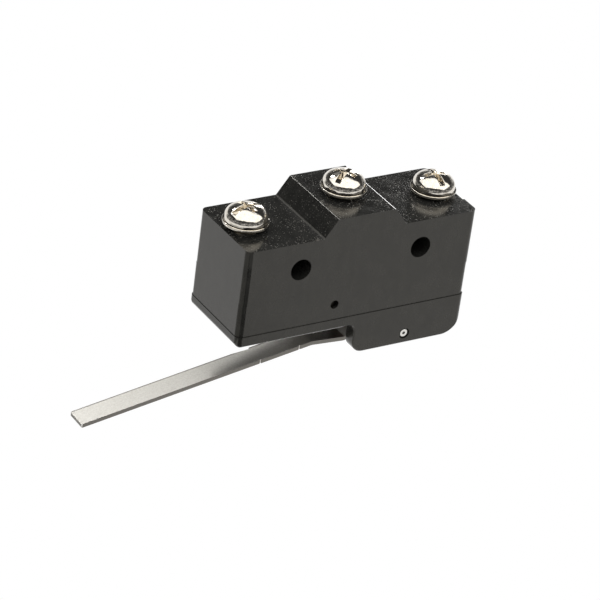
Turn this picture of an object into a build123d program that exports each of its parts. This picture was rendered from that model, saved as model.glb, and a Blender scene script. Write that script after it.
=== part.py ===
from build123d import *
import os

# Snap-action switch with a long hinge lever and three screw terminals, in millimetres.
# The origin lies midway between the two mounting holes, on the housing's mid-plane.
# +X runs towards the hinge foot, -Y is the front and +Z points from the lever to the terminals.

# Housing, measured over the cover and from the axis of the mounting holes
body_length = 48.75
body_width = 17.5
corner_radius = 1.2
hole_pitch = 25.4
hole_radius = 2.1
case_depth = 12.04
cover_thickness = 2.05
cover_lip = 0.1
mould_shift = 0.05
mould_line_depth = 5.32
side_wall = 1.8
end_wall = 1.8
hole_wall = 1.4
cavity_corner = 1.2

# Terminals, as distances from the housing's ends and heights above the hole axis
terminal_margin = 4.4
left_platform = 5.49
middle_platform = 9.07
right_platform = 5.59
middle_left = 6.0
middle_right = 6.0
ramp_run = 2.53
step_run = 2.76
ridge_radius = 0.35
valley_radius = 0.35
end_relief_width = 8.4
end_relief_depth = 0.3
end_relief_height = 2.2

# Foot of the cover, which carries the lever
foot_left = 0.71
foot_depth = 6.15
notch_radius = 1.4
heel_radius = 2.5
toe_radius = 4.0
cover_corner = 1.0
corner_relief = 0.05
rim_bevel = 0.25
slot_width = 12.6
slot_length = 13.8
slot_corner = 1.2

# Hinge pin and the small cross pin that keeps the cover in the case
hinge_x = 12.0
hinge_height = 2.1
hinge_pin_radius = 0.75
hinge_clearance = 0.05
pin_counterbore = 1.08
pin_counterbore_depth = 0.5
pin_recess = 0.18
pin_dimple = 0.3
cover_pin_x = -4.37
cover_pin_depth = 8.86
cover_pin_radius = 0.8
cover_pin_clearance = 0.05
cover_pin_recess = 0.8

# Lever, folded from sheet
sheet = 0.8
lever_reach = 62.62
tip_drop = 9.97
tip_width = 4.4
blade_width = 4.5
blade_step_x = -14.4
bend_x = -3.7
bend_drop = 2.26
neck_x = 3.3
neck_drop = 2.69
web_start = 5.1
web_end = 12.82
web_drop = 1.28
ear_start = 8.8
ear_radius = 1.7
slot_play = 0.3
bend_radii = (2.0, 0.4, 0.9)
fold_radius = 1.0
tip_round = 0.35
nick_width = 0.3
nick_depth = 0.25
second_nick_x = -6.3
taper_start_x = -18.0
taper_depth = 0.36

# Plunger
plunger_x = 5.82
plunger_radius = 1.45
plunger_clearance = 0.05
plunger_gap = 0.05
flange_radius = 2.4
flange_height = 1.0
nib_radius = 1.0
guide_height = 2.13
guide_radius = 3.0
collar_height = 2.0
collar_radius = 2.7

# Contact stack, from the roof of the cavity downwards
strip = 0.8
strip_width = 5.6
strip_wall_gap = 0.25
strip_leg = 3.6
fold_inside = 0.4
barrier_gap = 0.2
button_height = 0.6
button_radius = 1.6
contact_gap = 0.55
moving_height = 0.75
leaf = 0.2
contact_reach = 3.1
shank_radius = 0.8
shank_flare = 0.3
shank_flare_radius = 1.2

# Snap spring and the notched end of the common strip
leaf_width = 8.8
tongue_width = 3.0
slit_width = 0.7
leaf_end = 2.4
leg_root = 4.8
leg_bow = 0.75
leg_gap = 0.05
notch_reach = 6.2
notch_rise = 0.6
notch_half_height = 0.3
lug_depth = 1.4
lug_height = 1.3
tongue_end_gap = 0.5
rivet_margin = 1.9
rivet_head_radius = 1.3
rivet_head_height = 0.5

# Threaded hexagonal bushes moulded into the case
bush_across_flats = 5.5
spigot_radius = 1.6
spigot_flare = 0.5
spigot_flare_radius = 2.1
thread_radius = 2.0
thread_floor = 0.8

# Terminal screws with captive washers, backed off as supplied, each by its own lift
screw_length = 8.0
screw_play = 0.05
head_radius = 4.0
head_height = 2.8
head_rim = 0.35
crown_radius = 6.5
crown_angle = 25.5
washer_radius = 4.3
washer_bore = 2.25
washer_thickness = 0.45
left_lift = 1.05
middle_lift = 0.86
right_lift = 0.7
head_gap = 0.1
slot_cut_width = 1.0
slot_cut_depth = 1.0
cross_width = 0.95
cross_span = 4.8
cross_floor = 1.8
cross_depth = 2.0
left_recess_angle = 12.0
middle_recess_angle = 33.6
right_recess_angle = 84.0

# Ribs and posts inside the housing
barrier_width = 0.6
barrier_height = 1.2
rim_thickness = 1.0
rim_height = 1.4
rim_clearance = 0.1
lug_thickness = 1.6
lug_width = 4.4
lug_margin = 0.9
post_gap = 0.05
post_width = 6.0

# Lengths of cutting tools, across and down the housing and through a strip, and how near
# to a face an edge counts as lying on it
cut_width = 2 * body_width
cut_depth = 2 * body_length
strip_cut = 3 * strip
on_face = 0.01

# Levels that follow from the sizes above
parting_z = -case_depth
cover_z = parting_z - cover_thickness
sole_z = cover_z - foot_depth
hinge_z = sole_z + hinge_height
web_top_z = hinge_z - web_drop
roof_z = -(hole_radius + hole_wall)
strip_z = roof_z - strip
open_face_z = strip_z - button_height
leaf_top_z = open_face_z - contact_gap - moving_height
leaf_z = leaf_top_z - leaf
closed_face_z = leaf_z - moving_height
closed_arm_top_z = closed_face_z - button_height
closed_arm_z = closed_arm_top_z - strip
common_arm_z = leaf_z - strip
notch_z = leaf_top_z + notch_rise
guide_z = parting_z + guide_height
cover_pin_z = -cover_pin_depth

# Case outline, inside the cover's lip, and its cavity
case_length = body_length - 2 * cover_lip
case_width = body_width - 2 * cover_lip
cavity_length = case_length - 2 * end_wall
cavity_width = case_width - 2 * side_wall
case_end = case_length / 2
body_end = body_length / 2
strip_end = cavity_length / 2 - strip_wall_gap
terminal_pitch = body_end - terminal_margin
closed_leg_x = -terminal_pitch + strip_leg
common_leg_x = terminal_pitch - strip_leg
contact_x = closed_leg_x + contact_reach
leg_start = contact_x + leg_root
notch_x = common_leg_x - notch_reach
open_plate_x = closed_leg_x + barrier_width + 2 * barrier_gap
tongue_end = common_leg_x - tongue_end_gap
rivet_x = tongue_end - rivet_margin
terminal_places = {
    "closed": (-terminal_pitch, left_platform, left_lift, left_recess_angle),
    "open": (0.0, middle_platform, middle_lift, middle_recess_angle),
    "common": (terminal_pitch, right_platform, right_lift, right_recess_angle),
}


def span_box(x_span, y_span, z_span):
    """A block between two values on each axis."""
    size = [high - low for low, high in (x_span, y_span, z_span)]
    centre = [(high + low) / 2 for low, high in (x_span, y_span, z_span)]
    return Pos(*centre) * Box(*size)


def across(face, width):
    """A side view in X and Z, given the width across Y."""
    return extrude(Plane.XZ * face, amount=width / 2, both=True)


def cross_hole(x, z, radius, length):
    """A round bar along Y, for pins and for the holes that they pass through."""
    return Pos(x, 0, z) * Rot(90, 0, 0) * Cylinder(radius, length)


def turned(profile):
    """A turned piece from its half section, given as radius and height."""
    half_section = make_face(Polyline(*profile, close=True))
    return revolve(Plane.XZ * half_section, axis=Axis.Z)


def plan_block(length, width, radius, low, high):
    """A block with rounded upright corners."""
    outline = RectangleRounded(length, width, radius)
    return Pos(0, 0, low) * extrude(outline, amount=high - low)


def folded_strip(path, side, width):
    """Sheet of strip thickness that follows a bent line on one side of it."""
    return across(make_face(path.offset_2d(strip, side=side, closed=True)), width)


def case_side_view():
    """Stepped outline: low platform, ramp, raised middle platform, step, low platform."""
    ridge_line = FilletPolyline(
        (-case_end, left_platform),
        (-middle_left - ramp_run, left_platform),
        (-middle_left, middle_platform),
        (middle_right, middle_platform),
        (middle_right + step_run, right_platform),
        (case_end, right_platform),
        radius=[valley_radius, ridge_radius, ridge_radius, valley_radius],
    )
    rest = Polyline(
        (case_end, right_platform),
        (case_end, parting_z),
        (-case_end, parting_z),
        (-case_end, left_platform),
    )
    return make_face([ridge_line, rest])


def case():
    """Phenolic moulding, open below, with its cavity under the mounting holes."""
    side_view = across(case_side_view(), cut_width)
    ceiling = middle_platform + ridge_radius
    upper = plan_block(case_length, case_width, corner_radius, -mould_line_depth, ceiling)
    lower = plan_block(case_length, case_width, corner_radius, parting_z, -mould_line_depth)
    shell = Pos(0, -mould_shift, 0) * upper + Pos(0, mould_shift, 0) * lower
    shell &= side_view
    shell -= plan_block(cavity_length, cavity_width, cavity_corner, parting_z, roof_z)
    for x in (-hole_pitch / 2, hole_pitch / 2):
        shell -= cross_hole(x, 0, hole_radius, cut_width)
    for x, platform, *_ in terminal_places.values():
        shell -= Pos(x, 0, 0) * bush_body(platform)
    pin_hole = cover_pin_radius + cover_pin_clearance
    shell -= cross_hole(cover_pin_x, cover_pin_z, pin_hole, cut_width)
    shell -= span_box(
        (case_end - end_relief_depth, body_end),
        (-end_relief_width / 2, end_relief_width / 2),
        (right_platform - end_relief_height, middle_platform),
    )
    barrier_x = closed_leg_x + barrier_gap
    shell += span_box(
        (barrier_x, barrier_x + barrier_width),
        (-cavity_width / 2, cavity_width / 2),
        (roof_z - barrier_height, roof_z),
    )
    return shell


def cover_side_view():
    """Cover plate with the deep foot at one end; the foot's corners are well rounded."""
    path = FilletPolyline(
        (-body_end, parting_z),
        (-body_end, cover_z),
        (foot_left, cover_z),
        (foot_left, sole_z),
        (body_end, sole_z),
        (body_end, parting_z),
        radius=[cover_corner, notch_radius, heel_radius, toe_radius],
    )
    return make_face([path, Line(path @ 1, path @ 0)])


def cover():
    """Phenolic moulding that closes the case and carries plunger, hinge pin and lever."""
    shell = across(cover_side_view(), cut_width)
    plan_length = body_length + 2 * corner_relief
    shell &= plan_block(plan_length, body_width, corner_radius, sole_z, parting_z)
    shell = chamfer(outline_edges(shell), rim_bevel)
    shell += cover_rim() + cover_lugs() + guide_boss() + strip_posts()
    shell -= lever_slot() - guide_collar()
    shell -= cross_hole(hinge_x, hinge_z, hinge_pin_radius, cut_width)
    for side in (-1, 1):
        mouth = cross_hole(hinge_x, hinge_z, pin_counterbore, 2 * pin_counterbore_depth)
        shell -= Pos(0, side * body_width / 2, 0) * mouth
    plunger_bore = Cylinder(plunger_radius + plunger_clearance, cut_depth)
    shell -= Pos(plunger_x, 0, parting_z) * plunger_bore
    shell -= cross_hole(cover_pin_x, cover_pin_z, cover_pin_radius, cavity_width)
    return shell


def outline_edges(block):
    """Lower edges of the front and back faces, without those of the upright corners."""
    half_width = body_width / 2
    corner_start = body_end - corner_radius
    edges = block.edges().filter_by(
        lambda edge: edge.bounding_box().min.Z < parting_z - on_face
        and abs(edge.center().Y) > half_width - on_face
        and abs(edge.tangent_at(0.5).Y) < on_face
    )
    upright = edges.filter_by(Axis.Z).filter_by(
        lambda edge: abs(edge.center().X) > corner_start - on_face
    )
    return edges - upright


def lever_slot():
    """Slot in the foot, open to the left and below, that houses the lever's root."""
    outline = RectangleRounded(2 * slot_length, slot_width, slot_corner)
    return Pos(foot_left, 0, cover_z) * extrude(outline, amount=-cut_depth)


def guide_boss():
    """Inner boss that guides the plunger and stops its flange."""
    return Pos(plunger_x, 0, parting_z + guide_height / 2) * Cylinder(guide_radius, guide_height)


def guide_collar():
    """Collar round the plunger that hangs from the roof of the lever slot."""
    return Pos(plunger_x, 0, cover_z - collar_height / 2) * Cylinder(collar_radius, collar_height)


def cover_rim():
    """Low rim that locates the cover inside the case."""
    length = cavity_length - 2 * rim_clearance
    width = cavity_width - 2 * rim_clearance
    corner = cavity_corner - rim_clearance
    top = parting_z + rim_height
    outer = plan_block(length, width, corner, parting_z, top)
    length -= 2 * rim_thickness
    width -= 2 * rim_thickness
    corner -= rim_thickness
    return outer - plan_block(length, width, corner, parting_z, top)


def cover_lugs():
    """Two lugs inside the case that the small cross pin passes through."""
    outer_y = cavity_width / 2 - rim_clearance
    top = cover_pin_z + cover_pin_radius + lug_margin
    lug = span_box(
        (cover_pin_x - lug_width / 2, cover_pin_x + lug_width / 2),
        (outer_y - lug_thickness, outer_y),
        (parting_z, top),
    )
    return lug + mirror(lug, Plane.XZ)


def strip_posts():
    """Posts that back the arms of the closed strip and the common strip."""
    closed_post = span_box(
        (closed_leg_x, contact_x - shank_flare_radius - post_gap),
        (-post_width / 2, post_width / 2),
        (parting_z, closed_arm_z - post_gap),
    )
    common_post = span_box(
        (notch_x - notch_half_height, rivet_x - shank_flare_radius - post_gap),
        (-post_width / 2, post_width / 2),
        (parting_z, common_arm_z - post_gap),
    )
    return closed_post + common_post


def hinge_pin():
    """Steel pin pressed through the foot, with a centre dimple in each end."""
    end = body_width / 2 - pin_recess
    pin = turned([
        (0, -end + pin_dimple),
        (pin_dimple, -end),
        (hinge_pin_radius, -end),
        (hinge_pin_radius, end),
        (pin_dimple, end),
        (0, end - pin_dimple),
    ])
    return Pos(hinge_x, 0, hinge_z) * Rot(90, 0, 0) * pin


def cover_pin():
    """Small pin through the case walls and the cover's lugs."""
    return cross_hole(cover_pin_x, cover_pin_z, cover_pin_radius, case_width - 2 * cover_pin_recess)


def lever_path():
    """Upper surface of the lever in side view, from the tip to the end of the web."""
    tip = (hinge_x - lever_reach, hinge_z - tip_drop)
    bend = (bend_x, hinge_z - bend_drop)
    neck = (neck_x, hinge_z - neck_drop)
    web = (web_start, web_top_z)
    end = (web_end, web_top_z)
    return FilletPolyline(tip, bend, neck, web, end, radius=list(bend_radii))


def lever_root_width():
    """Width over the ears, which run between the walls of the slot."""
    return slot_width - 2 * slot_play


def lever_plan():
    """Flat outline of the blade: narrow tip, slightly wider blade, wide root."""
    tip_x = hinge_x - lever_reach
    tip_strip = span_outline(tip_x, blade_step_x, tip_width)
    tip_corners = tip_strip.vertices().group_by(Axis.X)[0]
    tip_strip = fillet(tip_corners, tip_round)
    blade = span_outline(blade_step_x, web_start, blade_width)
    root = span_outline(web_start, web_end, lever_root_width())
    return tip_strip + blade + root - shear_marks()


def shear_marks():
    """What the shear took out of the blade: a short taper behind and two nicks in front."""
    edge_y = tip_width / 2
    marks = Polygon(
        (taper_start_x, edge_y),
        (blade_step_x, edge_y - taper_depth),
        (blade_step_x, edge_y),
        align=None,
    )
    for x in (blade_step_x, second_nick_x):
        marks += Pos(x, -blade_width / 2) * Rectangle(nick_width, 2 * nick_depth)
    return marks


def span_outline(low, high, width):
    """A rectangle along X, centred on the mid-plane."""
    return Pos((low + high) / 2, 0) * Rectangle(high - low, width)


def lever_ears():
    """Channel section along the web, trimmed to two ears round the hinge pin."""
    width = lever_root_width()
    top = hinge_z + ear_radius
    outer = channel_face(width, web_top_z - sheet, top, fold_radius)
    inner = channel_face(width - 2 * sheet, web_top_z, top, fold_radius - sheet)
    channel = Pos(ear_start, 0, 0) * extrude(Plane.YZ * (outer - inner), amount=slot_length)
    eye = Pos(hinge_x, hinge_z) * Circle(ear_radius)
    web_width = web_end - ear_start
    web = Pos(ear_start + web_width / 2, web_top_z - sheet / 2) * Rectangle(web_width, sheet)
    side_view = make_hull(eye.edges() + web.edges())
    return channel & across(side_view, slot_width)


def channel_face(width, low, high, radius):
    """Rectangle in Y and Z whose two lower corners are rounded."""
    face = Pos(0, (low + high) / 2) * Rectangle(width, high - low)
    return fillet(face.vertices().group_by(Axis.Y)[0], radius)


def lever():
    """Stainless blade: bent twice, raised into the slot and folded up into two ears."""
    path = lever_path()
    sheet_face = make_face(path.offset_2d(sheet, side=Side.RIGHT, closed=True))
    blade = across(sheet_face, lever_root_width())
    blade &= Pos(0, 0, cover_z) * extrude(lever_plan(), amount=-cut_depth)
    blade -= span_box((ear_start, web_end), (-slot_width, slot_width), (sole_z, cover_z))
    blade += lever_ears()
    return blade - cross_hole(hinge_x, hinge_z, hinge_pin_radius + hinge_clearance, slot_width)


def plunger():
    """Moulded plunger: domed end on the lever, flange on the guide, nib under the leaf."""
    tip_z = web_top_z + plunger_gap
    centre_z = tip_z + plunger_radius
    dome = CenterArc((0, centre_z), plunger_radius, -90, 90)
    side = Polyline(
        (plunger_radius, centre_z),
        (plunger_radius, guide_z),
        (flange_radius, guide_z),
        (flange_radius, guide_z + flange_height),
        (nib_radius, guide_z + flange_height),
        (nib_radius, leaf_z - plunger_gap),
        (0, leaf_z - plunger_gap),
        (0, tip_z),
    )
    return Pos(plunger_x, 0, 0) * revolve(Plane.XZ * make_face([dome, side]), axis=Axis.Z)


def bush_body(platform):
    """Hexagonal length of a bush, which the case grips so that it can't turn."""
    hexagon = RegularPolygon(bush_across_flats / 2, 6, major_radius=False, rotation=30)
    return Pos(0, 0, roof_z) * extrude(hexagon, amount=platform - roof_z)


def bush(platform):
    """Threaded brass bush whose lower end is flared over its contact strip."""
    spigot = turned([
        (0, roof_z),
        (spigot_radius, roof_z),
        (spigot_radius, strip_z),
        (spigot_flare_radius, strip_z),
        (spigot_flare_radius, strip_z - spigot_flare),
        (0, strip_z - spigot_flare),
    ])
    depth = platform - roof_z - thread_floor
    bore = Pos(0, 0, platform - depth / 2) * Cylinder(thread_radius, depth)
    return bush_body(platform) + spigot - bore


def washer():
    """Flat washer, loose on the screw's neck, with its underside at height zero."""
    ring = Cylinder(washer_radius, washer_thickness) - Cylinder(washer_bore, washer_thickness)
    return Pos(0, 0, washer_thickness / 2) * ring


def screw(recess_angle):
    """Pan-head screw with a cross recess and a slot, with its head's underside at height zero."""
    cap = CenterArc((0, head_height - crown_radius), crown_radius, 90, -crown_angle)
    shoulder = TangentArc(cap @ 1, (head_radius, head_rim), tangent=cap % 1)
    shank = thread_radius - screw_play
    side = Polyline(
        (head_radius, head_rim),
        (head_radius, 0),
        (shank, 0),
        (shank, -screw_length),
        (0, -screw_length),
        (0, head_height),
    )
    blank = revolve(Plane.XZ * make_face([cap, shoulder, side]), axis=Axis.Z)
    return blank - Rot(0, 0, recess_angle) * recess()


def recess():
    """Slot across the head and two tapered wings that form the cross."""
    slot_half = slot_cut_width / 2
    slot_floor = head_height - slot_cut_depth
    slot_cut = span_box(
        (-head_radius, head_radius), (-slot_half, slot_half), (slot_floor, head_height)
    )
    wing_face = Polygon(
        (-cross_span / 2, head_height),
        (-cross_floor / 2, head_height - cross_depth),
        (cross_floor / 2, head_height - cross_depth),
        (cross_span / 2, head_height),
        align=None,
    )
    wing = across(wing_face, cross_width)
    return slot_cut + wing + Rot(0, 0, 90) * wing


def closed_strip():
    """Normally closed strip: plate under its bush, folded down and out to its contact."""
    path = FilletPolyline(
        (-strip_end, roof_z),
        (closed_leg_x, roof_z),
        (closed_leg_x, closed_arm_top_z),
        (contact_x + button_radius, closed_arm_top_z),
        radius=[fold_inside + strip, fold_inside],
    )
    piece = folded_strip(path, Side.RIGHT, strip_width)
    piece -= Pos(-terminal_pitch, 0, roof_z) * Cylinder(spigot_radius, strip_cut)
    return piece - Pos(contact_x, 0, closed_arm_z) * Cylinder(shank_radius, strip_cut)


def open_strip():
    """Normally open strip: flat plate from the middle bush to its contact."""
    end = spigot_flare_radius + strip_wall_gap
    piece = span_box((open_plate_x, end), (-strip_width / 2, strip_width / 2), (strip_z, roof_z))
    piece -= Pos(0, 0, roof_z) * Cylinder(spigot_radius, strip_cut)
    return piece - Pos(contact_x, 0, roof_z) * Cylinder(shank_radius, strip_cut)


def common_strip():
    """Common strip: folded down to an arm that clamps the leaf and ends in two notched lugs."""
    path = FilletPolyline(
        (strip_end, roof_z),
        (common_leg_x, roof_z),
        (common_leg_x, leaf_z),
        (notch_x - notch_half_height, leaf_z),
        radius=[fold_inside + strip, fold_inside],
    )
    piece = folded_strip(path, Side.LEFT, strip_width)
    lug_face = Polygon(
        (notch_x - notch_half_height, common_arm_z),
        (notch_x - notch_half_height, notch_z - notch_half_height),
        (notch_x, notch_z),
        (notch_x - notch_half_height, notch_z + notch_half_height),
        (notch_x - notch_half_height, leaf_z + lug_height),
        (notch_x + lug_depth / 2, leaf_z + lug_height),
        (notch_x + lug_depth, common_arm_z),
        align=None,
    )
    inner_y = tongue_width / 2 + slit_width
    lugs = across(lug_face, leaf_width)
    lugs -= span_box(
        (notch_x - lug_depth, notch_x + lug_depth), (-inner_y, inner_y), (leaf_z, roof_z)
    )
    piece += lugs
    piece -= Pos(terminal_pitch, 0, roof_z) * Cylinder(spigot_radius, strip_cut)
    return piece - Pos(rivet_x, 0, common_arm_z) * Cylinder(shank_radius, strip_cut)


def snap_spring():
    """One stamped leaf: contact end, central tension tongue and two bowed legs."""
    contact_end = contact_x - leaf_end
    plate = span_outline(contact_end, leg_start, leaf_width)
    plate = fillet(plate.vertices().group_by(Axis.X)[0], button_radius)
    outline = plate + span_outline(leg_start, tongue_end, tongue_width)
    piece = Pos(0, 0, leaf_z) * extrude(outline, amount=leaf)
    leg_width = (leaf_width - tongue_width) / 2 - slit_width
    leg_y = leaf_width / 2 - leg_width / 2
    leg = across(leg_side_view(), leg_width)
    piece += Pos(0, leg_y, 0) * leg + Pos(0, -leg_y, 0) * leg
    for x in (contact_x, rivet_x):
        piece -= Pos(x, 0, leaf_z) * Cylinder(shank_radius, strip_cut)
    return piece


def leg_side_view():
    """Bowed leg, from the contact end of the leaf to the notch it pushes against."""
    middle_x = (leg_start + notch_x) / 2
    bow_z = (leaf_top_z + notch_z) / 2 + leg_bow
    leg_tip = notch_x - leaf / 2 - leg_gap
    upper = ThreePointArc((leg_start, leaf_top_z), (middle_x, bow_z), (leg_tip, notch_z + leaf / 2))
    lower = ThreePointArc(
        (leg_tip, notch_z - leaf / 2), (middle_x, bow_z - leaf), (leg_start, leaf_z)
    )
    return make_face([upper, Line(upper @ 1, lower @ 0), lower, Line(lower @ 1, upper @ 0)])


def spring_rivet():
    """Rivet that clamps the tongue to the common strip."""
    return Pos(rivet_x, 0, 0) * turned([
        (0, leaf_top_z + rivet_head_height),
        (rivet_head_radius, leaf_top_z + rivet_head_height),
        (rivet_head_radius, leaf_top_z),
        (shank_radius, leaf_top_z),
        (shank_radius, common_arm_z),
        (shank_flare_radius, common_arm_z),
        (shank_flare_radius, common_arm_z - shank_flare),
        (0, common_arm_z - shank_flare),
    ])


def moving_contact():
    """Silver double-headed contact riveted through the leaf."""
    return Pos(contact_x, 0, 0) * turned([
        (0, leaf_top_z + moving_height),
        (button_radius, leaf_top_z + moving_height),
        (button_radius, leaf_top_z),
        (shank_radius, leaf_top_z),
        (shank_radius, leaf_z),
        (button_radius, leaf_z),
        (button_radius, leaf_z - moving_height),
        (0, leaf_z - moving_height),
    ])


def closed_contact():
    """Silver button on the arm below the leaf."""
    return Pos(contact_x, 0, 0) * turned([
        (0, closed_face_z),
        (button_radius, closed_face_z),
        (button_radius, closed_arm_top_z),
        (shank_radius, closed_arm_top_z),
        (shank_radius, closed_arm_z),
        (shank_flare_radius, closed_arm_z),
        (shank_flare_radius, closed_arm_z - shank_flare),
        (0, closed_arm_z - shank_flare),
    ])


def open_contact():
    """Silver button under the plate above the leaf, its shank flush with the plate."""
    return Pos(contact_x, 0, 0) * turned([
        (0, open_face_z),
        (button_radius, open_face_z),
        (button_radius, strip_z),
        (shank_radius, strip_z),
        (shank_radius, roof_z),
        (0, roof_z),
    ])


nodes = {
    "case": case(),
    "cover": cover(),
    "cover_pin": cover_pin(),
    "hinge_pin": hinge_pin(),
    "lever": lever(),
    "plunger": plunger(),
    "snap_spring": snap_spring(),
    "spring_rivet": spring_rivet(),
    "moving_contact": moving_contact(),
    "closed_contact": closed_contact(),
    "open_contact": open_contact(),
    "closed_strip": closed_strip(),
    "open_strip": open_strip(),
    "common_strip": common_strip(),
}
for terminal, (x, platform, lift, recess_angle) in terminal_places.items():
    washer_z = platform + lift
    head_z = washer_z + washer_thickness + head_gap
    nodes[terminal + "_bush"] = Pos(x, 0, 0) * bush(platform)
    nodes[terminal + "_washer"] = Pos(x, 0, washer_z) * washer()
    nodes[terminal + "_screw"] = Pos(x, 0, head_z) * screw(recess_angle)

os.makedirs("parts", exist_ok=True)
for name, solid in nodes.items():
    export_step(solid, "parts/" + name + ".step")
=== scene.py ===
import math

import bmesh
import bpy
import numpy as np
from mathutils import Matrix, Vector


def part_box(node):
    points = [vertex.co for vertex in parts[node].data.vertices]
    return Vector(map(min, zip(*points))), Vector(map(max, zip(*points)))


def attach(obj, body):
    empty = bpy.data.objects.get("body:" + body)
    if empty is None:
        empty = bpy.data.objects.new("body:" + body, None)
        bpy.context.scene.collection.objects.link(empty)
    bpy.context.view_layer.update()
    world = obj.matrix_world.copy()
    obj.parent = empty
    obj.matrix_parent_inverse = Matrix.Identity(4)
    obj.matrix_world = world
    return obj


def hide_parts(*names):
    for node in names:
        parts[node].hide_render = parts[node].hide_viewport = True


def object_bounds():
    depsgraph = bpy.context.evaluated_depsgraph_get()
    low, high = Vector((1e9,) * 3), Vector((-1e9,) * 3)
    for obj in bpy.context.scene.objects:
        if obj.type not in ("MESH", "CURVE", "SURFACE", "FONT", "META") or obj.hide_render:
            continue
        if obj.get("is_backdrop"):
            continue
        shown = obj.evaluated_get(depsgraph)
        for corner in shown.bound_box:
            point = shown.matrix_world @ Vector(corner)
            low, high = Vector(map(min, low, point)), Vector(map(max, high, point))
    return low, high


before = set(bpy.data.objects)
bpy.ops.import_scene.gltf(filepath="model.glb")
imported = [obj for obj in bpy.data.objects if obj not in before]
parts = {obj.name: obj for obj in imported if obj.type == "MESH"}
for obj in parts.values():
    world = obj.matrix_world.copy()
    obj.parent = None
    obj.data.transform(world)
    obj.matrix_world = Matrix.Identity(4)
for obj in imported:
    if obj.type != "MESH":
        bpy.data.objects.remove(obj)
cad_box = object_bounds()
scene = bpy.context.scene
scene.view_settings.view_transform = "Standard"

# Camera, at the place from which the body's edges, both mounting holes, the pin and the lever's
# tip fall where they do in the photograph: a long lens, turned a little about its own axis.
view_azimuth = math.radians(34.621)
view_elevation = math.radians(29.763)
view_roll = math.radians(7.774)
view_distance = 0.57228
view_offset = (0.0066255, 0.0116671)
focal_length_mm = 189.2
sensor_mm = 36.0

towards_camera = Vector((
    -math.sin(view_azimuth) * math.cos(view_elevation),
    -math.cos(view_azimuth) * math.cos(view_elevation),
    math.sin(view_elevation),
))
level_right = (-towards_camera).cross(Vector((0, 0, 1))).normalized()
level_up = level_right.cross(-towards_camera)
picture_right = math.cos(view_roll) * level_right + math.sin(view_roll) * level_up
picture_up = math.cos(view_roll) * level_up - math.sin(view_roll) * level_right
camera_place = (
    view_distance * towards_camera - view_offset[0] * picture_right - view_offset[1] * picture_up
)
camera_axes = (picture_right, picture_up, towards_camera)
camera = bpy.data.objects.new("camera", bpy.data.cameras.new("camera"))
camera.data.lens = focal_length_mm
camera.data.sensor_width = sensor_mm
camera.data.clip_start = 0.01
camera.matrix_world = Matrix((
    (*[axis[0] for axis in camera_axes], camera_place[0]),
    (*[axis[1] for axis in camera_axes], camera_place[1]),
    (*[axis[2] for axis in camera_axes], camera_place[2]),
    (0, 0, 0, 1),
))
scene.collection.objects.link(camera)
scene.camera = camera


# Studio: a pale table in a dim room whose far wall is pale and cluttered. A soft box and a lit
# panel hang overhead, two strip lamps and a weak panel stand behind, and a black and a grey card
# on the table are mirrored in the round front corner.
def linear(code):
    """An sRGB hex colour as linear red, green, blue and alpha."""
    channels = [int(code[i:i + 2], 16) / 255 for i in (1, 3, 5)]
    return [c / 12.92 if c <= 0.04045 else ((c + 0.055) / 1.055) ** 2.4 for c in channels] + [1]


def add(tree, kind, inputs=None, **settings):
    """One shader node; an input is either a value or the socket that feeds it."""
    made = tree.nodes.new(kind)
    for name, value in settings.items():
        setattr(made, name, value)
    for name, value in (inputs or {}).items():
        if isinstance(value, bpy.types.NodeSocket):
            tree.links.new(value, made.inputs[name])
        else:
            made.inputs[name].default_value = value
    return made


table_drop = 0.12
table_back = 0.7
table_front = 0.9
table_half_width = 0.8
heading = Vector((towards_camera.x, towards_camera.y, 0)).normalized()
sideways = Vector((-heading.y, heading.x, 0))
corners = []
for along, side in ((-table_back, -1), (-table_back, 1), (table_front, 1), (table_front, -1)):
    point = heading * along + sideways * side * table_half_width
    corners.append((point.x, point.y, -table_drop))
table_mesh = bpy.data.meshes.new("table")
table_mesh.from_pydata(corners, [], [(0, 3, 2, 1)])
table = bpy.data.objects.new("table", table_mesh)
scene.collection.objects.link(table)
table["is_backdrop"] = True

card_lift = 0.001
black_outline = ((-0.145, -0.125), (0.08, -0.165), (0.06, -0.25), (-0.2, -0.22))
grey_outline = ((-0.145, -0.125), (-0.2, -0.22), (-0.3, -0.06), (-0.28, 0.09), (-0.17, 0.125),
                (-0.13, 0.08), (-0.16, 0.0))
for name, outline, shade in (("black_card", black_outline, "#050505"),
                             ("grey_card", grey_outline, "#a8a8a5")):
    card_mesh = bpy.data.meshes.new(name)
    flat = [(x, y, card_lift - table_drop) for x, y in outline]
    card_mesh.from_pydata(flat, [], [tuple(range(len(flat)))])
    card = bpy.data.objects.new(name, card_mesh)
    scene.collection.objects.link(card)
    card.visible_camera = False
    card.visible_shadow = False
    card.visible_diffuse = False
    card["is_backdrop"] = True
    card_paint = bpy.data.materials.new(name + "_flock")
    card_paint.use_nodes = True
    tree = card_paint.node_tree
    tree.nodes.clear()
    flock = add(tree, "ShaderNodeBsdfDiffuse", {"Color": linear(shade)})
    add(tree, "ShaderNodeOutputMaterial", {"Surface": flock.outputs[0]})
    card_mesh.materials.append(card_paint)

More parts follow.
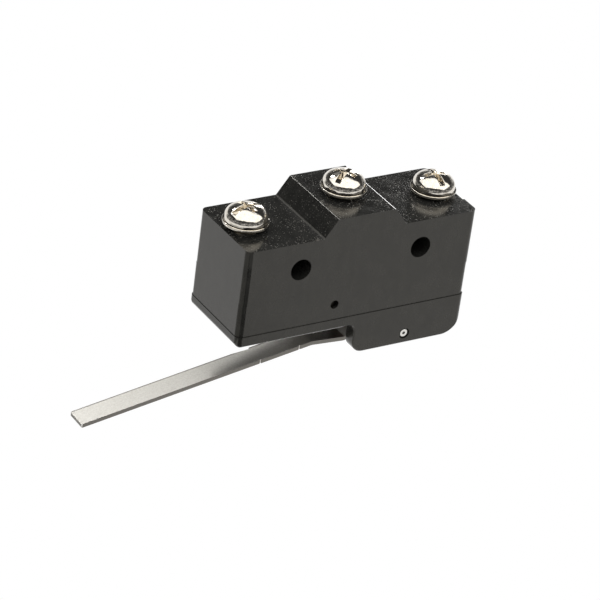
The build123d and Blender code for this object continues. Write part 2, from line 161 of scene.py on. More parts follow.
table_paint = bpy.data.materials.new("pale_table")
table_paint.use_nodes = True
tree = table_paint.node_tree
tree.nodes.clear()
rays = add(tree, "ShaderNodeLightPath").outputs
seen = add(tree, "ShaderNodeMath", {0: rays["Is Camera Ray"], 1: rays["Is Glossy Ray"]},
           operation="MAXIMUM")
seen = add(tree, "ShaderNodeMath", {0: seen.outputs[0], 1: rays["Is Transmission Ray"]},
           operation="MAXIMUM")
matt = add(tree, "ShaderNodeBsdfDiffuse", {"Color": linear("#f0f0ee")})
glow = add(tree, "ShaderNodeEmission", {"Color": (1, 1, 1, 1), "Strength": 1.0})
mix = add(tree, "ShaderNodeMixShader", {0: seen.outputs[0], 1: matt.outputs[0], 2: glow.outputs[0]})
beneath = add(tree, "ShaderNodeNewGeometry").outputs["Backfacing"]
open_below = add(tree, "ShaderNodeBsdfTransparent")
mix = add(tree, "ShaderNodeMixShader", {0: beneath, 1: mix.outputs[0], 2: open_below.outputs[0]})
add(tree, "ShaderNodeOutputMaterial", {"Surface": mix.outputs[0]})
table_mesh.materials.append(table_paint)

# The room is one even light for matt faces. Polished ones mirror a white wall low on the far
# side, patches of clutter round and above it, and darkness elsewhere.
wall_azimuth = math.radians(18)
wall_half_width = math.radians(48)
wall_top = math.radians(9)
wall_fade = 0.15
wall_top_fade = 0.2
clutter_scale = 11.0
clutter_darkest = 0.03
clutter_brightest = 0.8
room_light = 0.3
darkest_mirrored = 0.04
world = bpy.data.worlds.new("studio")
scene.world = world
world.use_nodes = True
tree = world.node_tree
tree.nodes.clear()
rays = add(tree, "ShaderNodeLightPath").outputs
room = add(tree, "ShaderNodeBackground", {"Color": (1, 1, 1, 1), "Strength": room_light})
way = add(tree, "ShaderNodeTexCoord").outputs["Generated"]
height = add(tree, "ShaderNodeSeparateXYZ", {0: way}).outputs[2]
middle = (math.sin(wall_azimuth), math.cos(wall_azimuth), 0)
near_wall = add(tree, "ShaderNodeVectorMath", {0: way, 1: middle}, operation="DOT_PRODUCT")
side_fade = add(tree, "ShaderNodeMapRange", {
    "Value": near_wall.outputs["Value"],
    "From Min": math.cos(wall_half_width * (1 + wall_fade)),
    "From Max": math.cos(wall_half_width * (1 - wall_fade)),
}).outputs[0]
top_fade = add(tree, "ShaderNodeMapRange", {
    "Value": height,
    "From Min": math.sin(wall_top * (1 + wall_top_fade)),
    "From Max": math.sin(wall_top * (1 - wall_top_fade)),
}).outputs[0]
wall = add(tree, "ShaderNodeMath", {0: side_fade, 1: top_fade}, operation="MULTIPLY").outputs[0]
clutter = add(tree, "ShaderNodeTexNoise", {"Vector": way, "Scale": clutter_scale, "Detail": 4.0})
clutter = add(tree, "ShaderNodeMapRange", {
    "Value": clutter.outputs["Fac"], "From Min": 0.48, "From Max": 0.66,
    "To Min": clutter_darkest, "To Max": clutter_brightest,
}).outputs[0]
low_down = add(tree, "ShaderNodeMapRange", {"Value": height, "From Min": 0.45, "From Max": 0.2})
clutter = add(tree, "ShaderNodeMath", {0: clutter, 1: low_down.outputs[0]}, operation="MULTIPLY")
level = add(tree, "ShaderNodeMath", {0: wall, 1: clutter.outputs[0]}, operation="MAXIMUM").outputs[0]
level = add(tree, "ShaderNodeMath", {0: level, 1: darkest_mirrored}, operation="MAXIMUM").outputs[0]
seen_in_gloss = add(tree, "ShaderNodeBackground", {"Color": (1, 1, 1, 1), "Strength": level})
white = add(tree, "ShaderNodeBackground", {"Color": (1, 1, 1, 1), "Strength": 1.0})
mirrored = add(tree, "ShaderNodeMixShader", {0: rays["Is Glossy Ray"], 1: room.outputs[0],
                                             2: seen_in_gloss.outputs[0]})
mix = add(tree, "ShaderNodeMixShader", {0: rays["Is Camera Ray"], 1: mirrored.outputs[0],
                                        2: white.outputs[0]})
add(tree, "ShaderNodeOutputWorld", {"Surface": mix.outputs[0]})


def lamp(name, place, aim, upright, size, radiance, share=(1.0, 1.0)):
    """A rectangular lamp at a place, shining against its aim, with one side along upright.

    Its share says how much of it matt and glossy surfaces take.
    """
    light = bpy.data.lights.new(name, "AREA")
    light.shape = "RECTANGLE"
    light.size, light.size_y = size
    light.energy = radiance * math.pi * size[0] * size[1]
    light.diffuse_factor, light.specular_factor = share
    holder = bpy.data.objects.new(name, light)
    back = aim.normalized()
    across = upright.cross(back).normalized()
    turn = Matrix((across, back.cross(across), back)).transposed()
    holder.matrix_world = Matrix.Translation(place) @ turn.to_4x4()
    holder.visible_camera = False
    scene.collection.objects.link(holder)


def towards(azimuth, elevation):
    """Unit vector at an azimuth in degrees, counted from +Y towards +X, and an elevation."""
    azimuth, elevation = math.radians(azimuth), math.radians(elevation)
    level = math.cos(elevation)
    return Vector((math.sin(azimuth) * level, math.cos(azimuth) * level, math.sin(elevation)))


up = Vector((0, 0, 1))
panel_height = 0.6
panel_light = 1.5
panel_outline = ((0.22, -0.83), (-0.37, -0.2), (-0.26, 0.07), (-0.42, 1.4), (0.79, 1.35),
                 (0.72, -0.16))
panel_corners = [along * heading + side * sideways + panel_height * up
                 for along, side in panel_outline]
panel_mesh = bpy.data.meshes.new("overhead_panel")
panel_mesh.from_pydata(panel_corners, [], [tuple(range(len(panel_corners)))])
panel = bpy.data.objects.new("overhead_panel", panel_mesh)
scene.collection.objects.link(panel)
panel.visible_camera = False
panel.visible_diffuse = False
panel.visible_shadow = False
panel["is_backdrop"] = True
panel_paint = bpy.data.materials.new("lit_diffuser")
panel_paint.use_nodes = True
tree = panel_paint.node_tree
tree.nodes.clear()
diffuser = add(tree, "ShaderNodeEmission", {"Color": linear("#fffdf8"), "Strength": panel_light})
add(tree, "ShaderNodeOutputMaterial", {"Surface": diffuser.outputs[0]})
panel_mesh.materials.append(panel_paint)
overhead_place = 0.2 * heading + 0.28 * sideways + panel_height * up
lamp("overhead_box", overhead_place, up, heading, (2.2, 1.1), 1.25, (1.0, 0.0))
lamp_distance = 0.7
for name, aim, size, radiance in (
    ("strip_behind", towards(-4, 44), (0.09, 0.1), 26.0),
    ("lever_panel", towards(24, 41), (0.3, 0.2), 0.2),
    ("strip_right", towards(43, 8), (0.1, 0.3), 12.0),
):
    lamp(name, lamp_distance * aim, aim, up, size, radiance)


# Case: phenolic moulding compound, compression moulded in a polished steel mould. Its skin is
# glossy black, faintly rippled by the filler, with the witness line of a round mould insert;
# dust has settled on the level faces and lint at the foot of the ramp.
def finish(name, colour, roughness, metallic=0.0):
    """A new material, its node tree, the place on the piece in millimetres and its shader."""
    made = bpy.data.materials.new(name)
    made.use_nodes = True
    tree = made.node_tree
    tree.nodes.clear()
    place = add(tree, "ShaderNodeTexCoord")
    mm = add(tree, "ShaderNodeVectorMath", {0: place.outputs["Object"], 1: (1000, 1000, 1000)},
             operation="MULTIPLY")
    shader = add(tree, "ShaderNodeBsdfPrincipled", {
        "Base Color": linear(colour), "Roughness": roughness, "Metallic": metallic,
    })
    add(tree, "ShaderNodeOutputMaterial", {"Surface": shader.outputs[0]})
    return made, tree, mm.outputs[0], shader


def noise(tree, mm, size_mm, detail=2.0, stretch=(1, 1, 1)):
    """Noise whose lumps are size_mm across, longer along an axis whose stretch is above 1."""
    scale = [1 / (size_mm * s) for s in stretch]
    scaled = add(tree, "ShaderNodeVectorMath", {0: mm, 1: scale}, operation="MULTIPLY")
    made = add(tree, "ShaderNodeTexNoise", {"Vector": scaled.outputs[0], "Scale": 1.0,
                                            "Detail": detail, "Roughness": 0.55})
    return made.outputs["Fac"]


def between(tree, factor, low, high, start=0.3, end=0.7):
    """A number that goes from low to high while the factor goes from start to end."""
    made = add(tree, "ShaderNodeMapRange", {"Value": factor, "From Min": start, "From Max": end,
                                            "To Min": low, "To Max": high})
    return made.outputs[0]


def blend_colours(tree, factor, low, high):
    """A colour between two others; each is a hex code or the socket that feeds it."""
    low, high = [linear(c) if isinstance(c, str) else c for c in (low, high)]
    made = add(tree, "ShaderNodeMix", data_type="RGBA")
    for socket, value in zip((0, 6, 7), (factor, low, high)):
        if isinstance(value, bpy.types.NodeSocket):
            tree.links.new(value, made.inputs[socket])
        else:
            made.inputs[socket].default_value = value
    return made.outputs[2]


def relief(tree, height, depth_mm, below=None):
    """Bump of a real depth, laid over another bump if one is given."""
    inputs = {"Height": height, "Distance": depth_mm / 1000, "Strength": 1.0}
    if below is not None:
        inputs["Normal"] = below
    return add(tree, "ShaderNodeBump", inputs).outputs[0]


def soften(name, width_mm, segments=2, sharp_height=-1.0, bare_radius=0.0):
    """Merge a node's loose triangles and round its outer edges.

    Edges at one height stay sharp, and so do those within a radius of a terminal's axis.
    """
    node = parts[name]
    node.modifiers.new("merge", "WELD").merge_threshold = 0.000001
    flat = node.modifiers.new("join_flat_faces", "DECIMATE")
    flat.decimate_type = "DISSOLVE"
    flat.angle_limit = math.radians(0.3)
    marked = node.modifiers.new("mark_edges", "NODES")
    marked.node_group = marked_edges
    marked[height_socket.identifier] = sharp_height
    marked[radius_socket.identifier] = bare_radius
    edge = node.modifiers.new("round_edges", "BEVEL")
    edge.width = width_mm / 1000
    edge.segments = segments
    edge.limit_method = "WEIGHT"
    edge.use_clamp_overlap = False
    node.modifiers.new("shade_by_area", "WEIGHTED_NORMAL").keep_sharp = True


def dress(name, material):
    """Give a node one material."""
    parts[name].data.materials.clear()
    parts[name].data.materials.append(material)


# Outer edges that fold by more than sharp_fold are rounded. Other folds as sharp stay creased,
# and so do the edges at the mould line and in the hexagonal pockets.
sharp_fold = math.radians(28)
same_height = 0.0002
terminal_pitch = 0.019975
marked_edges = bpy.data.node_groups.new("marked_edges", "GeometryNodeTree")
sockets = marked_edges.interface
sockets.new_socket("Geometry", in_out="INPUT", socket_type="NodeSocketGeometry")
sockets.new_socket("Geometry", in_out="OUTPUT", socket_type="NodeSocketGeometry")
height_socket = sockets.new_socket("Sharp Height", in_out="INPUT", socket_type="NodeSocketFloat")
radius_socket = sockets.new_socket("Bare Radius", in_out="INPUT", socket_type="NodeSocketFloat")
tree = marked_edges
start = add(tree, "NodeGroupInput").outputs
smooth = add(tree, "GeometryNodeSetShadeSmooth", {"Geometry": start[0]}).outputs[0]
angles = add(tree, "GeometryNodeInputMeshEdgeAngle").outputs
is_sharp = add(tree, "ShaderNodeMath", {0: angles["Unsigned Angle"], 1: sharp_fold},
               operation="GREATER_THAN").outputs[0]
is_outer = add(tree, "ShaderNodeMath", {0: angles["Signed Angle"], 1: -sharp_fold},
               operation="LESS_THAN").outputs[0]
place = add(tree, "GeometryNodeInputPosition").outputs[0]
place = add(tree, "ShaderNodeSeparateXYZ", {0: place}).outputs
apart = add(tree, "ShaderNodeMath", {0: place[2], 1: start[1]}, operation="SUBTRACT").outputs[0]
apart = add(tree, "ShaderNodeMath", {0: apart}, operation="ABSOLUTE").outputs[0]
apart = add(tree, "ShaderNodeMath", {0: apart, 1: same_height}, operation="GREATER_THAN").outputs[0]
off_axis = add(tree, "ShaderNodeMath", {0: place[0], 1: terminal_pitch / 2, 2: -terminal_pitch / 2},
               operation="WRAP").outputs[0]
off_axis = add(tree, "ShaderNodeCombineXYZ", {0: off_axis, 1: place[1]}).outputs[0]
off_axis = add(tree, "ShaderNodeVectorMath", {0: off_axis}, operation="LENGTH").outputs["Value"]
off_axis = add(tree, "ShaderNodeMath", {0: off_axis, 1: start[2]}, operation="GREATER_THAN").outputs[0]
apart = add(tree, "ShaderNodeMath", {0: apart, 1: off_axis}, operation="MULTIPLY").outputs[0]
weight = add(tree, "ShaderNodeMath", {0: is_outer, 1: apart}, operation="MULTIPLY").outputs[0]
left = add(tree, "ShaderNodeMath", {0: is_sharp, 1: weight}, operation="SUBTRACT").outputs[0]
creased = add(tree, "GeometryNodeSetShadeSmooth", {
    "Geometry": smooth, "Selection": left, "Shade Smooth": False,
}, domain="EDGE").outputs[0]
store = add(tree, "GeometryNodeStoreNamedAttribute", {
    "Geometry": creased, "Name": "bevel_weight_edge", "Value": weight,
}, data_type="FLOAT", domain="EDGE")
add(tree, "NodeGroupOutput", {0: store.outputs[0]})

phenolic_edge = 0.1
mould_line_height = -0.00532
terminal_clear_radius = 0.0042
mottle = 2.6
dust_height = 5.2
lint_roughness = 0.5
ramp_foot = (-8.58, 0, 5.55)
insert_centre = (0.25, 0, -14.6)
insert_radius = 21.9
witness_depth = 0.008
ripple_depth = 0.006
grain_depth = 0.0006


def specks(tree, mm, spacing, size, start, end):
    """Round specks of dust, up to a size in millimetres; each has its own paleness.

    Real dust is about 0.05 mm across; the specks are drawn two to four times as coarse to show.
    """
    cell = add(tree, "ShaderNodeTexVoronoi", {"Vector": mm, "Scale": 1 / spacing})
    chance = add(tree, "ShaderNodeSeparateColor", {0: cell.outputs["Color"]})
    crowd = add(tree, "ShaderNodeMath", {0: chance.outputs[0], 1: noise(tree, mm, 4.0, 2.0)},
                operation="MULTIPLY").outputs[0]
    radius = between(tree, crowd, 0.0, size / spacing, start, end)
    speck = add(tree, "ShaderNodeMath", {0: cell.outputs["Distance"], 1: radius},
                operation="LESS_THAN").outputs[0]
    pale = between(tree, chance.outputs[1], 0.03, 0.34, 0.2, 1.0)
    return add(tree, "ShaderNodeMath", {0: speck, 1: pale}, operation="MULTIPLY").outputs[0]


phenolic, tree, mm, shader = finish("compression_moulded_phenolic", "#1b1b1a", 0.14)
shader.inputs["IOR"].default_value = 1.49
shader.inputs["Specular Tint"].default_value = linear("#fffaf0")
cloud = noise(tree, mm, mottle, 4.0)
body_colour = blend_colours(tree, between(tree, cloud, 0, 1), "#191918", "#20201e")
# Dust lies only where the skin looks up, above the mounting holes; a wiped film is everywhere.
facing = add(tree, "ShaderNodeNewGeometry").outputs["Normal"]
upward = add(tree, "ShaderNodeSeparateXYZ", {0: facing}).outputs[2]
height = add(tree, "ShaderNodeSeparateXYZ", {0: mm}).outputs[2]
open_above = add(tree, "ShaderNodeMath", {0: height, 1: dust_height}, operation="GREATER_THAN")
settled = add(tree, "ShaderNodeMath", {0: between(tree, upward, 0.0, 1.0, 0.5, 0.65),
                                       1: open_above.outputs[0]}, operation="MULTIPLY").outputs[0]
dust = add(tree, "ShaderNodeMath", {0: specks(tree, mm, 0.6, 0.2, 0.26, 0.6),
                                    1: specks(tree, mm, 0.27, 0.12, 0.1, 0.5)},
           operation="MAXIMUM").outputs[0]
dust = add(tree, "ShaderNodeMath", {0: dust, 1: settled}, operation="MULTIPLY").outputs[0]
level = between(tree, upward, 0.3, 1.0, 0.9, 0.99)
film = add(tree, "ShaderNodeMath", {0: between(tree, noise(tree, mm, 3.5, 5.0), 0.0, 0.012),
                                    1: level}, operation="MULTIPLY").outputs[0]
wiped = between(tree, noise(tree, mm, 2.0, 6.0, (0.8, 1, 1.6)), 0.0, 0.018)
film = add(tree, "ShaderNodeMath", {0: film, 1: wiped}, operation="MAXIMUM").outputs[0]
dust = add(tree, "ShaderNodeMath", {0: dust, 1: film}, operation="MAXIMUM").outputs[0]
body_colour = blend_colours(tree, dust, body_colour, "#a6a39b")
tree.links.new(body_colour, shader.inputs["Base Color"])
skin = between(tree, cloud, 0.12, 0.2)
dull = add(tree, "ShaderNodeMath", {0: skin, 1: dust}, operation="ADD").outputs[0]
# Lint is caught in the corner at the foot of the ramp and dulls it.
foot = add(tree, "ShaderNodeVectorMath", {0: mm, 1: ramp_foot}, operation="SUBTRACT").outputs[0]
foot = add(tree, "ShaderNodeVectorMath", {0: foot, 1: (1, 0, 1)}, operation="MULTIPLY").outputs[0]
foot = add(tree, "ShaderNodeVectorMath", {0: foot}, operation="LENGTH").outputs["Value"]
lint = between(tree, foot, lint_roughness, 0.0, 0.2, 0.3)
dull = add(tree, "ShaderNodeMath", {0: dull, 1: lint}, operation="MAXIMUM").outputs[0]
tree.links.new(dull, shader.inputs["Roughness"])
# The insert's rim left a step of a few micrometres in the skin, on a circle about its centre.
rim = add(tree, "ShaderNodeVectorMath", {0: mm, 1: insert_centre}, operation="SUBTRACT").outputs[0]
rim = add(tree, "ShaderNodeVectorMath", {0: rim, 1: (1, 0, 1)}, operation="MULTIPLY").outputs[0]
rim = add(tree, "ShaderNodeVectorMath", {0: rim}, operation="LENGTH").outputs["Value"]
rim = add(tree, "ShaderNodeMath", {0: rim, 1: insert_radius}, operation="SUBTRACT").outputs[0]
witness = relief(tree, between(tree, rim, 0, 1, -0.15, 0.15), witness_depth)
ripple = relief(tree, noise(tree, mm, 3.0, 1.0), ripple_depth, witness)
grain = relief(tree, noise(tree, mm, 0.25, 2.0), grain_depth, ripple)
tree.links.new(grain, shader.inputs["Normal"])
dress("case", phenolic)
soften("case", phenolic_edge, sharp_height=mould_line_height, bare_radius=terminal_clear_radius)


# Bushes: brass hexagon bar, cut off, drilled and tapped, then set into the mould before the case
# is pressed round them. Their tops are tin-plated, with faint turning marks, and their colour is
# painted darker than tin as the shade under the washers.
bush_edge = 0.12
# The tin colour is set darker than tin: painted shade under the washers.
tinned_brass_painted_dark, tree, mm, shader = finish("tinned_brass_with_painted_shade", "#8d8676", 0.38, 1.0)
stain = noise(tree, mm, 0.8, 4.0)
tree.links.new(blend_colours(tree, between(tree, stain, 0, 1), "#8f8878", "#6d6656"),
               shader.inputs["Base Color"])
turning = noise(tree, mm, 0.12, 1.0, (1, 1, 6))
tree.links.new(relief(tree, turning, 0.003), shader.inputs["Normal"])
for terminal in ("closed", "open", "common"):
    dress(terminal + "_bush", tinned_brass_painted_dark)
    soften(terminal + "_bush", bush_edge)


# Contact strips and rivet: half-hard brass strip, blanked and folded. The rolls leave fine
# scratches along the strip, drawn coarser than the real ones so that they show, and handling
# has tarnished it in soft patches.
strip_edge = 0.06
rolled_brass, tree, mm, shader = finish("rolled_brass_strip", "#c9a25a", 0.28, 1.0)
tarnish = noise(tree, mm, 2.2, 4.0)
tree.links.new(blend_colours(tree, between(tree, tarnish, 0, 1), "#d0aa62", "#a98546"),
               shader.inputs["Base Color"])
scratches = noise(tree, mm, 0.1, 2.0, (30, 1, 1))
tree.links.new(between(tree, scratches, 0.2, 0.38), shader.inputs["Roughness"])
tree.links.new(relief(tree, scratches, 0.002), shader.inputs["Normal"])
for name in ("closed_strip", "open_strip", "common_strip", "spring_rivet"):
    dress(name, rolled_brass)
    soften(name, strip_edge)


# Snap spring: beryllium copper strip, blanked, formed and hardened. Hardening turns it a darker,
# slightly uneven copper with rolling lines along the leaf.
spring_edge = 0.03
hardened_copper, tree, mm, shader = finish("hardened_beryllium_copper", "#b87a4e", 0.34, 1.0)
heat = noise(tree, mm, 4.0, 3.0)
tree.links.new(blend_colours(tree, between(tree, heat, 0, 1), "#bf8355", "#96603c"),
               shader.inputs["Base Color"])
rolling = noise(tree, mm, 0.08, 2.0, (40, 1, 1))
tree.links.new(relief(tree, rolling, 0.0015), shader.inputs["Normal"])
dress("snap_spring", hardened_copper)
soften("snap_spring", spring_edge)


# Contacts: fine silver wire, cold headed into buttons. The faces are satin, with a thin grey
# tarnish that is stronger towards the rim.
contact_edge = 0.15
headed_silver, tree, mm, shader = finish("cold_headed_silver", "#d9d6cd", 0.26, 1.0)
bloom = noise(tree, mm, 0.7, 4.0)
tree.links.new(blend_colours(tree, between(tree, bloom, 0, 1), "#dedbd2", "#b3aea2"),
               shader.inputs["Base Color"])
tree.links.new(between(tree, bloom, 0.2, 0.36), shader.inputs["Roughness"])
tree.links.new(relief(tree, noise(tree, mm, 0.15, 2.0), 0.002), shader.inputs["Normal"])
for name in ("moving_contact", "closed_contact", "open_contact"):
    dress(name, headed_silver)
    soften(name, contact_edge, 3)


# Plunger: red-brown phenolic, moulded to size and loose in the cover's guide. Its wood-flour
# filler gives it a small mottle and a satin skin.
plunger_edge = 0.12
flour_phenolic, tree, mm, shader = finish("wood_flour_phenolic", "#5a2c20", 0.36)
flour = noise(tree, mm, 0.35, 4.0)
tree.links.new(blend_colours(tree, between(tree, flour, 0, 1), "#63311f", "#47241b"),
               shader.inputs["Base Color"])
tree.links.new(between(tree, flour, 0.3, 0.48), shader.inputs["Roughness"])
tree.links.new(relief(tree, flour, 0.004), shader.inputs["Normal"])
dress("plunger", flour_phenolic)
soften("plunger", plunger_edge)


# Cover: the same phenolic as the case, pressed in its own mould and set a little proud of it.
# Its edges are rounder than the case's, and its foot carries the hinge pin.
cover_edge = 0.16
dress("cover", phenolic)
soften("cover", cover_edge)


# Pins: steel wire, cut off and tumbled. The hinge pin's ends are bright from tumbling, with a
# centre pit; the pit, the rounded rim and the length of the pin are painted dark as shade. The cover
# pin sits deep in its hole and is painted near black as the shade there.
hinge_pin_edge = 0.26
pit_radius = 0.08
pit_rim = 0.2
tumbled_steel, tree, mm, shader = finish("tumbled_steel_wire", "#d3d1cc", 0.2, 1.0)
dents = noise(tree, mm, 0.3, 3.0)
tree.links.new(between(tree, dents, 0.14, 0.3), shader.inputs["Roughness"])
tree.links.new(relief(tree, dents, 0.008), shader.inputs["Normal"])
# Steel colour on the end face outside the pit; painted shade, dark, in the pit, on the rounded rim and
# along the pin.
facing = add(tree, "ShaderNodeNewGeometry").outputs["Normal"]
facing = add(tree, "ShaderNodeSeparateXYZ", {0: facing}).outputs
end_face = add(tree, "ShaderNodeMath", {0: facing[1]}, operation="ABSOLUTE").outputs[0]
pin_middle = sum(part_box("hinge_pin"), Vector()) / 2 * 1000
off_axis = add(tree, "ShaderNodeVectorMath", {0: mm, 1: pin_middle}, operation="SUBTRACT").outputs[0]
off_axis = add(tree, "ShaderNodeVectorMath", {0: off_axis, 1: (1, 0, 1)},
               operation="MULTIPLY").outputs[0]
off_axis = add(tree, "ShaderNodeVectorMath", {0: off_axis}, operation="LENGTH").outputs["Value"]
bright = add(tree, "ShaderNodeMath", {
    0: between(tree, end_face, 0, 1, 0.85, 0.97),
    1: between(tree, off_axis, 0.25, 1, pit_radius, pit_rim),
}, operation="MULTIPLY").outputs[0]
# Painted shade: the pit, the rounded rim and the length of the pin are darkened to near black.
tree.links.new(blend_colours(tree, bright, "#1f1d1b", "#dddbd6"), shader.inputs["Base Color"])
dress("hinge_pin", tumbled_steel)
soften("hinge_pin", hinge_pin_edge, 4)

cover_pin_edge = 0.08
# The near black base colour, with a faint random tone, is painted shade for the pin deep in its hole.
steel_with_painted_shade, tree, mm, shader = finish("steel_wire_with_painted_shade", "#23211f", 0.32, 1.0)
film = noise(tree, mm, 0.5, 3.0)
tree.links.new(blend_colours(tree, between(tree, film, 0, 1), "#1f1e1c", "#35322e"),
               shader.inputs["Base Color"])
dress("cover_pin", steel_with_painted_shade)
soften("cover_pin", cover_pin_edge)


# Lever: stainless strip, cut by shearing, bent and folded up into two ears. The top has the satin
# grain of the rolls along it, drawn coarser than the real one so that it shows. The rounded tip is
# painted near white as a highlight;
# the edge faces towards -y and the cropped end, and a band along the far edge, are painted dark grey
# as shade over the duller shear.
lever_edge = 0.19
rolled_stainless, tree, mm, shader = finish("rolled_stainless_strip", "#dcdad4", 0.4, 1.0)
lines = noise(tree, mm, 0.14, 3.0, (40, 1, 1))
pits = noise(tree, mm, 0.3, 3.0)
shade = blend_colours(tree, between(tree, pits, 0, 1), "#e3e1db", "#d2cfc8")
facing = add(tree, "ShaderNodeNewGeometry").outputs["Normal"]
facing = add(tree, "ShaderNodeSeparateXYZ", {0: facing}).outputs
# Painted highlight: the rounded tip's faces turned towards -x are lightened to near white.
tip_painted_highlight = blend_colours(tree, between(tree, facing[0], 0, 1, -0.35, -0.6), shade, "#fffdf8")
across = add(tree, "ShaderNodeSeparateXYZ", {0: mm}).outputs[1]
# Painted shade: the far edge band, the edge faces towards -y and the cropped end are darkened to grey.
far_edge = between(tree, across, 0, 1, 1.85, 2.1)
near_side = between(tree, facing[1], 0, 1, -0.86, -0.98)
shear_and_painted_shade = add(tree, "ShaderNodeMath", {0: far_edge, 1: near_side}, operation="MAXIMUM").outputs[0]
cropped = between(tree, facing[0], 0, 1, -0.8, -0.95)
shear_and_painted_shade = add(tree, "ShaderNodeMath", {0: shear_and_painted_shade, 1: cropped}, operation="MAXIMUM").outputs[0]
tree.links.new(blend_colours(tree, shear_and_painted_shade, tip_painted_highlight, "#7c7973"), shader.inputs["Base Color"])
satin = between(tree, lines, 0.36, 0.46)
tree.links.new(satin, shader.inputs["Roughness"])
fine = relief(tree, lines, 0.002)
tree.links.new(relief(tree, pits, 0.001, fine), shader.inputs["Normal"])
dress("lever", rolled_stainless)
soften("lever", lever_edge, 3)


# Washers: steel, blanked and nickel plated, loose on the necks of the screws. The punch rounds
# the upper rim and scores the wall below it in fine upright lines; the bright plate mirrors the
# room with a slight ripple and haze.
def mesh_piece(name, surfaces, material, body="housing"):
    """One object from surfaces, each a grid of points in metres, with seams merged."""
    points, faces = [], []
    for grid in surfaces:
        rows, columns = grid.shape[:2]
        index = np.arange(rows * columns).reshape(rows, columns) + sum(len(p) for p in points)
        quads = np.stack([index[:-1, :-1], index[:-1, 1:], index[1:, 1:], index[1:, :-1]], -1)
        points.append(grid.reshape(-1, 3))
        faces.append(quads.reshape(-1, 4))
    mesh = bpy.data.meshes.new(name)
    mesh.from_pydata(np.concatenate(points).tolist(), [], np.concatenate(faces).tolist())
    work = bmesh.new()
    work.from_mesh(mesh)
    bmesh.ops.remove_doubles(work, verts=work.verts, dist=0.0000005)
    bmesh.ops.dissolve_degenerate(work, edges=work.edges, dist=0.0000002)
    bmesh.ops.recalc_face_normals(work, faces=work.faces)
    work.to_mesh(mesh)
    work.free()
    mesh.polygons.foreach_set("use_smooth", np.ones(len(mesh.polygons), dtype=bool))
    mesh.set_sharp_from_angle(angle=math.radians(40))
    mesh.materials.append(material)
    piece = bpy.data.objects.new(name, mesh)
    scene.collection.objects.link(piece)
    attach(piece, body)
    return piece


def quarter(centre, radius, start, end, steps=6):
    """Points of an arc as radius and height, between two angles in degrees."""
    angles = np.radians(np.linspace(start, end, steps))
    return np.stack([centre[0] + radius * np.cos(angles), centre[1] + radius * np.sin(angles)], -1)


def carried_round(profile, angles, centre):
    """A profile of radius and height in millimetres, carried round an upright axis."""
    radius = profile[:, 0, None]
    x = centre[0] + radius * np.cos(angles) / 1000
    y = centre[1] + radius * np.sin(angles) / 1000
    z = np.broadcast_to(centre[2] + profile[:, 1, None] / 1000, x.shape)
    return np.stack([x, y, z], -1)


nickel, tree, mm, shader = finish("bright_nickel_plate", "#d6d0c6", 0.09, 1.0)
haze = noise(tree, mm, 0.6, 4.0)
tree.links.new(blend_colours(tree, between(tree, haze, 0, 1), "#e6e1d8", "#d3ccc0"),
               shader.inputs["Base Color"])
tree.links.new(between(tree, haze, 0.04, 0.14), shader.inputs["Roughness"])
tree.links.new(relief(tree, noise(tree, mm, 0.6, 3.0), 0.014), shader.inputs["Normal"])

washer_radius = 4.3
washer_bore = 2.25
washer_thickness = 0.45
punch_round = 0.14
score_count = 220
score_depth = 0.02
washer_profile = np.concatenate([
    [(washer_bore, 0.0), (washer_bore, washer_thickness - punch_round / 2)],
    quarter((washer_bore + punch_round / 2, washer_thickness - punch_round / 2),
            punch_round / 2, 180, 90),
    quarter((washer_radius - punch_round, washer_thickness - punch_round), punch_round, 90, 0),
    [(washer_radius, 0.04), (washer_radius - 0.04, 0.0), (washer_bore, 0.0)],
])
for terminal in ("closed", "open", "common"):
    low, high = [Vector(corner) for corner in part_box(terminal + "_washer")]
    centre = ((low.x + high.x) / 2, (low.y + high.y) / 2, low.z)
    angles = np.linspace(0, 2 * np.pi, 2 * score_count + 1)
    scores = np.random.default_rng(7).random(2 * score_count + 1) * score_depth
    scores[-1] = scores[0]
    ring = carried_round(washer_profile, angles, centre)
    wall = (washer_profile[:, 0] > washer_radius - 0.03)[:, None]
    inward = np.where(wall, scores[None, :], 0) / 1000
    ring[..., 0] -= inward * np.cos(angles)
    ring[..., 1] -= inward * np.sin(angles)
    piece = mesh_piece(terminal + "_captive_washer", [ring], nickel)
    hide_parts(terminal + "_washer")


# Terminal screws: cold-headed steel with a rolled M4 thread, bright nickel plated. The head is a
# shallow dome with a tighter shoulder, and has a slot and a cross recess with worn edges.
head_radius = 4.0
head_height = 2.8
head_rim = 0.35
crown_radius = 6.5
crown_angle = math.radians(25.5)
slot_width = 1.0
slot_depth = 1.0
cross_width = 0.95
cross_span = 4.8
cross_floor = 1.8
cross_depth = 2.0
worn_edge = 0.13
screw_length = 8.0
thread_radius = 1.95
thread_pitch = 0.7
thread_depth = 0.4
thread_start = 1.0
recess_turns = {"closed": 12.0, "open": 33.6, "common": 84.0}

crown_end = crown_radius * math.sin(crown_angle)
crown_end_height = head_height - crown_radius * (1 - math.cos(crown_angle))
chord = (head_radius - crown_end, head_rim - crown_end_height)
shoulder_radius = (chord[0] ** 2 + chord[1] ** 2) / (
    -2 * (chord[0] * math.sin(crown_angle) + chord[1] * math.cos(crown_angle))
)
shoulder_centre = (
    crown_end - shoulder_radius * math.sin(crown_angle),
    crown_end_height - shoulder_radius * math.cos(crown_angle),
)


def dome(radius):
    """Height of the plain head: a sphere's cap, then a smaller arc that meets it smoothly."""
    cap = head_height - crown_radius + np.sqrt(crown_radius ** 2 - np.minimum(radius, crown_end) ** 2)
    out = np.clip(radius - shoulder_centre[0], 0, shoulder_radius)
    shoulder = shoulder_centre[1] + np.sqrt(shoulder_radius ** 2 - out ** 2)
    return np.where(radius <= crown_end, cap, np.maximum(shoulder, head_rim))


def worn(distance, room):
    """Drop of a worn edge at a distance from it: a quarter round, less where the cut runs out."""
    inside = np.clip(worn_edge - np.maximum(distance, 0), 0, worn_edge)
    drop = worn_edge - np.sqrt(worn_edge ** 2 - inside ** 2)
    return drop * np.clip(room / worn_edge, 0, 1)


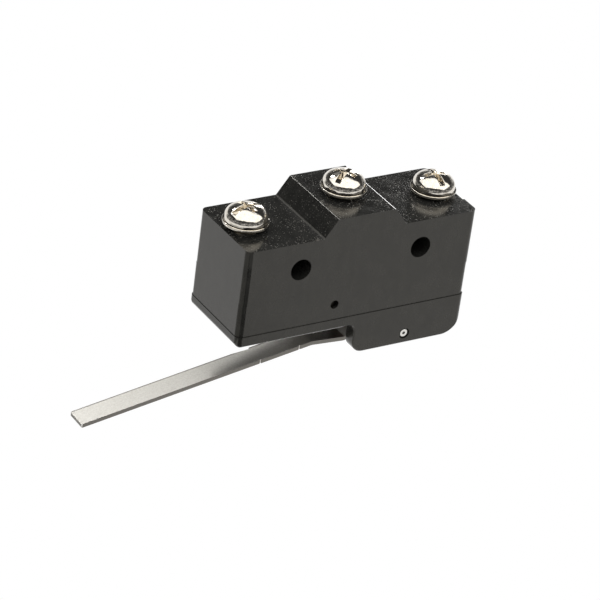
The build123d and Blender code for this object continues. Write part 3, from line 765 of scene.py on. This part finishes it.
def head_height_at(x, y):
    """Height of the head with its recess, at places along and across the slot.

    The slot is a level trench along x. Two wings cross in the middle; each is a trench whose
    floor rises in a straight line from the cross's floor to its tips.
    """
    top = dome(np.hypot(x, y))
    slot_floor = head_height - slot_depth
    ends = (cross_span - cross_floor) / 2
    along = head_height - cross_depth * np.clip((cross_span / 2 - np.abs(x)) / ends, 0, 1)
    across = head_height - cross_depth * np.clip((cross_span / 2 - np.abs(y)) / ends, 0, 1)
    height = top - worn(np.abs(y) - slot_width / 2, top - slot_floor)
    height = height - worn(np.abs(x) - cross_width / 2, height - across)
    height = np.where(np.abs(y) < slot_width / 2, np.minimum(height, slot_floor), height)
    height = np.where(np.abs(y) < cross_width / 2, np.minimum(height, along), height)
    return np.where(np.abs(x) < cross_width / 2, np.minimum(height, across), height)


wall_step = 0.012
fine = np.linspace(0, worn_edge, 6)
rows = np.concatenate([
    np.linspace(0, cross_width / 2 - wall_step, 7),
    [cross_width / 2 + wall_step, slot_width / 2 - wall_step / 2],
    slot_width / 2 + wall_step / 2 + fine,
    head_radius * np.sin(np.linspace(math.asin(0.7 / head_radius), np.pi / 2, 44)),
])
core = np.concatenate([
    np.linspace(0, cross_width / 2 - wall_step, 7),
    cross_width / 2 + wall_step / 2 + fine,
    np.linspace(0.68, 1.0, 5),
])
rows = np.concatenate([-rows[:0:-1], rows])
outer = np.sin(np.linspace(0, np.pi / 2, 36))[1:]
half_chord = np.sqrt(np.maximum(head_radius ** 2 - rows ** 2, 0))[:, None]
core_reach = np.minimum(1.0, 0.6 * half_chord)
half = np.concatenate([core * core_reach, core_reach + (half_chord - core_reach) * outer], 1)
head_x = np.concatenate([-half[:, :0:-1], half], 1)
head_y = np.broadcast_to(rows[:, None], head_x.shape)
head_z = head_height_at(head_x, head_y)
rim_angles = np.concatenate([np.arctan2(head_y[:, -1], head_x[:, -1]),
                             np.arctan2(head_y[::-1, 0], head_x[::-1, 0])])
rim_angles = np.unwrap(np.append(rim_angles, rim_angles[0]))

underside = np.array([(head_radius, head_rim), (head_radius, 0.06), (head_radius - 0.06, 0.0),
                      (thread_radius, 0.0), (thread_radius, -thread_start)])
thread_rows = np.arange(thread_start, screw_length - 0.4, thread_pitch / 8)
turn = (thread_rows[:, None] / thread_pitch + rim_angles[None, :] / (2 * np.pi)) % 1
groove = thread_depth * np.clip(1.25 - 2.5 * np.abs(turn - 0.5), 0, 1)
run_in = np.clip((thread_rows - thread_start) / thread_pitch, 0, 1)[:, None]
thread_reach = thread_radius - groove * run_in
for terminal, recess_turn in recess_turns.items():
    low, high = [Vector(corner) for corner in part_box(terminal + "_screw")]
    centre = ((low.x + high.x) / 2, (low.y + high.y) / 2, low.z + screw_length / 1000)
    turn_by = math.radians(recess_turn)
    head = np.stack([
        centre[0] + (head_x * math.cos(turn_by) - head_y * math.sin(turn_by)) / 1000,
        centre[1] + (head_x * math.sin(turn_by) + head_y * math.cos(turn_by)) / 1000,
        centre[2] + head_z / 1000,
    ], -1)
    angles = rim_angles + turn_by
    below = carried_round(underside, angles, centre)
    thread = np.stack([
        centre[0] + thread_reach * np.cos(angles) / 1000,
        centre[1] + thread_reach * np.sin(angles) / 1000,
        np.broadcast_to(centre[2] - thread_rows[:, None] / 1000, thread_reach.shape),
    ], -1)
    point = carried_round(np.array([(thread_radius - 0.4, -screw_length), (0.0, -screw_length)]),
                          angles, centre)
    shank = np.concatenate([below[-1:], thread, point])
    piece = mesh_piece(terminal + "_terminal_screw", [head, below, shank], nickel)
    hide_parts(terminal + "_screw")


size = {"cad": [list(c) for c in cad_box], "visual": [list(c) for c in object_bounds()]}
